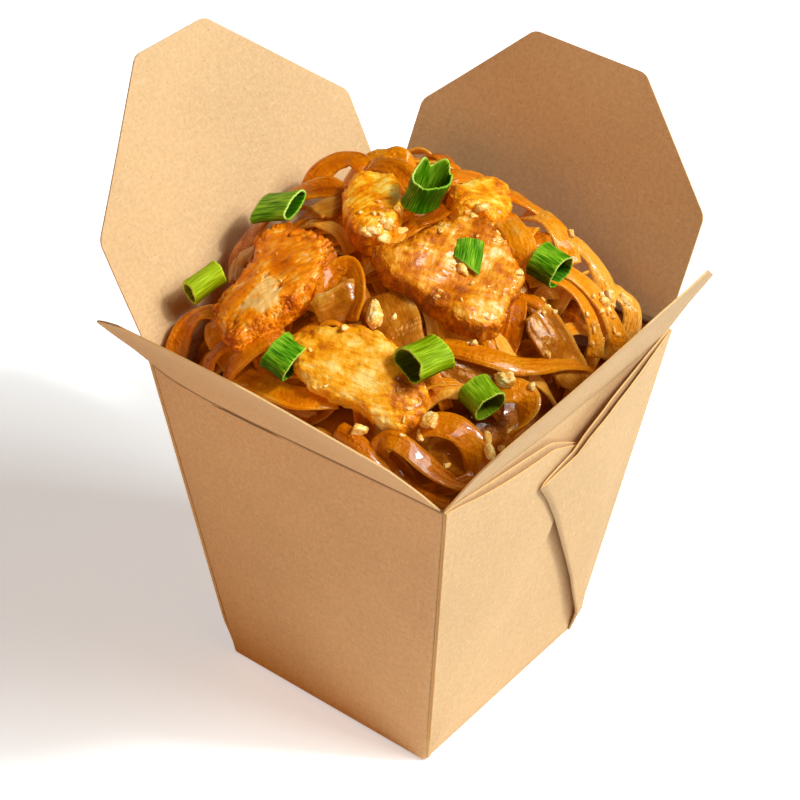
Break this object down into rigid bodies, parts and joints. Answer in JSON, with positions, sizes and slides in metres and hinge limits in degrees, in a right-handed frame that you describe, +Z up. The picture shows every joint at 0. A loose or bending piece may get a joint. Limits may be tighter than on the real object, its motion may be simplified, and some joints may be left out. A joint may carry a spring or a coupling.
{
  "type": "noodle takeaway box",
  "caption": "Open tapered card food pail with folded side gussets and hinged top flaps, heaped with flat noodles, chicken, onion, spring onion and crushed peanuts.",
  "frame": {"origin": "centre of the pail's flat underside", "axes": "+Z up; the two walls that carry the folded gussets face +X and -X, the two plain walls face +Y and -Y; the heap climbs towards -X and +Y"},
  "size_m": [0.1589, 0.1666, 0.1679],
  "materials": {
    "card": "matte brown kraft card, 0.45 mm, with a light grease-proof inner face",
    "noodles": "flat rice noodles, glossy with brown sauce",
    "chicken": "fried chicken, moist, golden to brown",
    "onion": "soft fried onion, translucent brown, glossy",
    "spring_onion": "fresh spring onion, satin green with fine ribs",
    "peanut": "crushed roast peanut, dry and matte"
  },
  "bodies": {
    "box": {"box_body": "card", "noodles": "noodles", "chicken_right": "chicken", "chicken_left": "chicken", "chicken_front": "chicken", "chicken_top": "chicken", "chicken_back": "chicken", "onion_1": "onion", "onion_2": "onion", "onion_3": "onion", "onion_4": "onion", "onion_5": "onion", "onion_6": "onion", "onion_7": "onion", "onion_8": "onion", "spring_onion_1": "spring_onion", "spring_onion_2": "spring_onion", "spring_onion_3": "spring_onion", "spring_onion_4": "spring_onion", "spring_onion_5": "spring_onion", "spring_onion_6": "spring_onion", "spring_onion_7": "spring_onion", "spring_onion_8": "spring_onion", "peanut_1": "peanut", "peanut_2": "peanut", "peanut_3": "peanut"},
    "right_flap": {"flap_right": "card"},
    "back_flap": {"flap_back": "card"},
    "left_flap": {"flap_left": "card"},
    "front_flap": {"flap_front": "card"}
  },
  "joints": [
    {"name": "right_crease", "type": "hinge", "parent": "box", "child": "right_flap", "pos_m": [0.047, 0, 0.105], "axis": [0, 1, 0], "range_deg": [-50, 60]},
    {"name": "back_crease", "type": "hinge", "parent": "box", "child": "back_flap", "pos_m": [0, 0.04945, 0.105], "axis": [-1, 0, 0], "range_deg": [-20, 62]},
    {"name": "left_crease", "type": "hinge", "parent": "box", "child": "left_flap", "pos_m": [-0.047, 0, 0.105], "axis": [0, -1, 0], "range_deg": [-18, 60]},
    {"name": "front_crease", "type": "hinge", "parent": "box", "child": "front_flap", "pos_m": [0, -0.04945, 0.105], "axis": [1, 0, 0], "range_deg": [-34, 50]}
  ]
}
